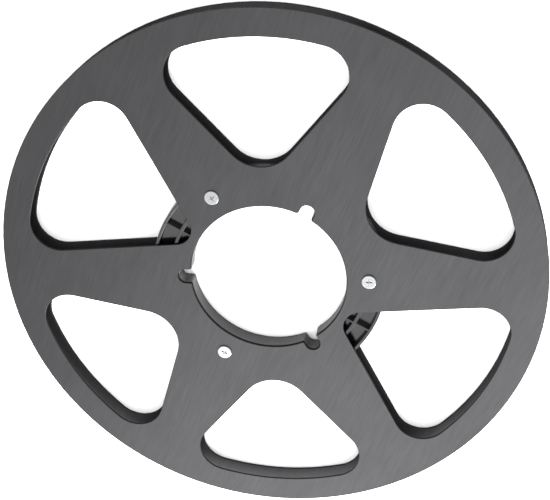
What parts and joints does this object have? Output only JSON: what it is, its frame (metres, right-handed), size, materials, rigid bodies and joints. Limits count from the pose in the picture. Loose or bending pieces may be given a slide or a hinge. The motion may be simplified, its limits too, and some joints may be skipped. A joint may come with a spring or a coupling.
{
  "type": "open-flange tape reel",
  "caption": "Open-flange metal reel for magnetic tape: two flat punched flanges with rounded windows, screwed to a ribbed hub with a large slotted centre bore.",
  "frame": {"origin": "centre of the spindle bore, halfway between the two flanges", "axes": "+Z along the bore, out of the front flange; +X through the middle of a deep window; the reel lies flat"},
  "size_m": [0.2666, 0.2666, 0.0114],
  "materials": {
    "anodised_sheet": "dark grey anodised, satin, fine straight brushed lines",
    "hub_moulding": "moulded black, semi-gloss",
    "plated_screw": "bright zinc-nickel plated",
    "brass_insert": "machined"
  },
  "bodies": {
    "root": {"front_flange": "anodised_sheet", "rear_flange": "anodised_sheet", "hub": "hub_moulding", "front_screw_1": "plated_screw", "front_screw_2": "plated_screw", "front_screw_3": "plated_screw", "rear_screw_1": "plated_screw", "rear_screw_2": "plated_screw", "rear_screw_3": "plated_screw", "screw_insert_1": "brass_insert", "screw_insert_2": "brass_insert", "screw_insert_3": "brass_insert"}
  },
  "joints": []
}
